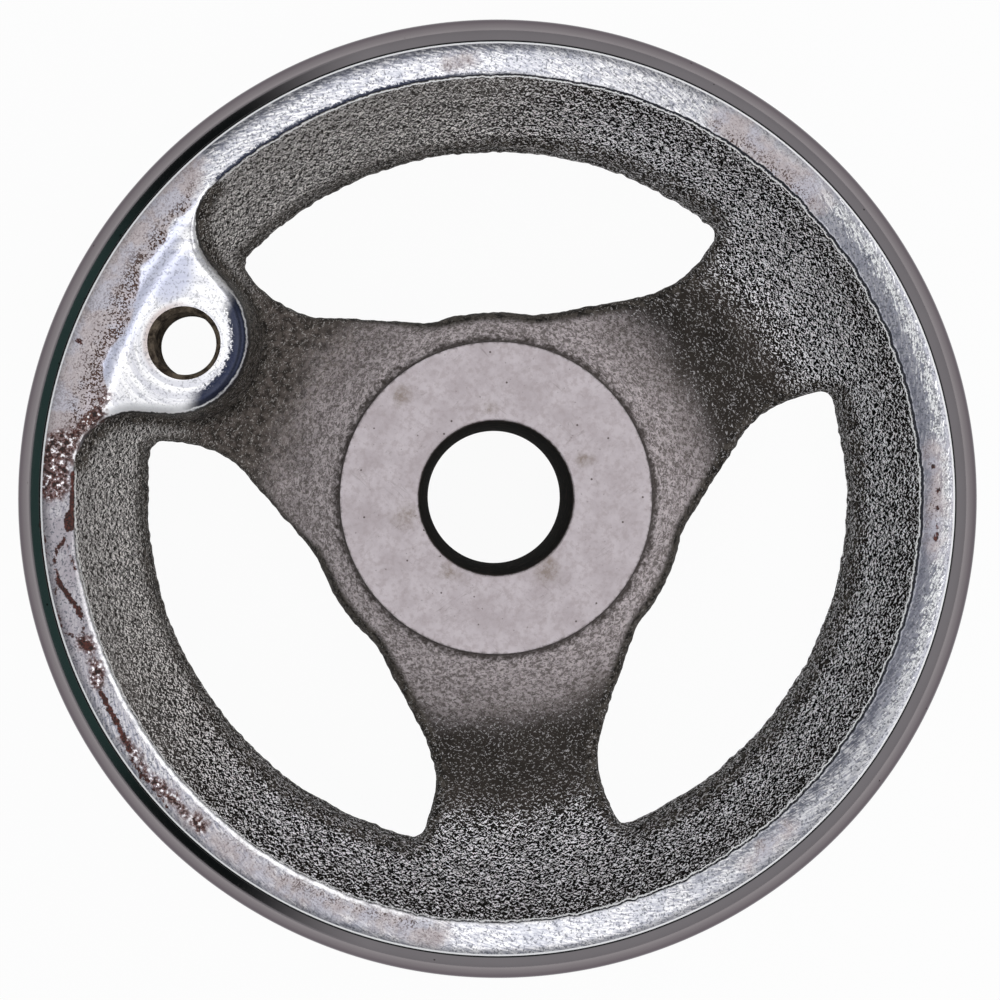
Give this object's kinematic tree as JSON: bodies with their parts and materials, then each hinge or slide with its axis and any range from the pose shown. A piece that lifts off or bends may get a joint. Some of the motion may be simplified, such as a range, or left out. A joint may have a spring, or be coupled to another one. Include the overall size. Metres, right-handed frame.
{
  "type": "machine handwheel",
  "caption": "Spoked cast-iron machine handwheel with a round polished rim, a turned hub with a plain shaft bore, and a pad drilled for a turning handle.",
  "frame": {"origin": "centre of the shaft bore on the hub's rear face, which the wheel stands on", "axes": "+Z along the shaft bore to the front, the side the handle is fitted on; +X along the spoke that carries the handle pad; +Y completes the right-handed frame"},
  "size_m": [0.125, 0.125, 0.0368],
  "materials": {
    "handwheel": "raw sand-cast grey iron on the web, turned matt on the hub face, ground and bright-plated on the rim, ring and handle pad, with pits and light rust"
  },
  "bodies": {
    "root": {"handwheel": "handwheel"}
  },
  "joints": []
}
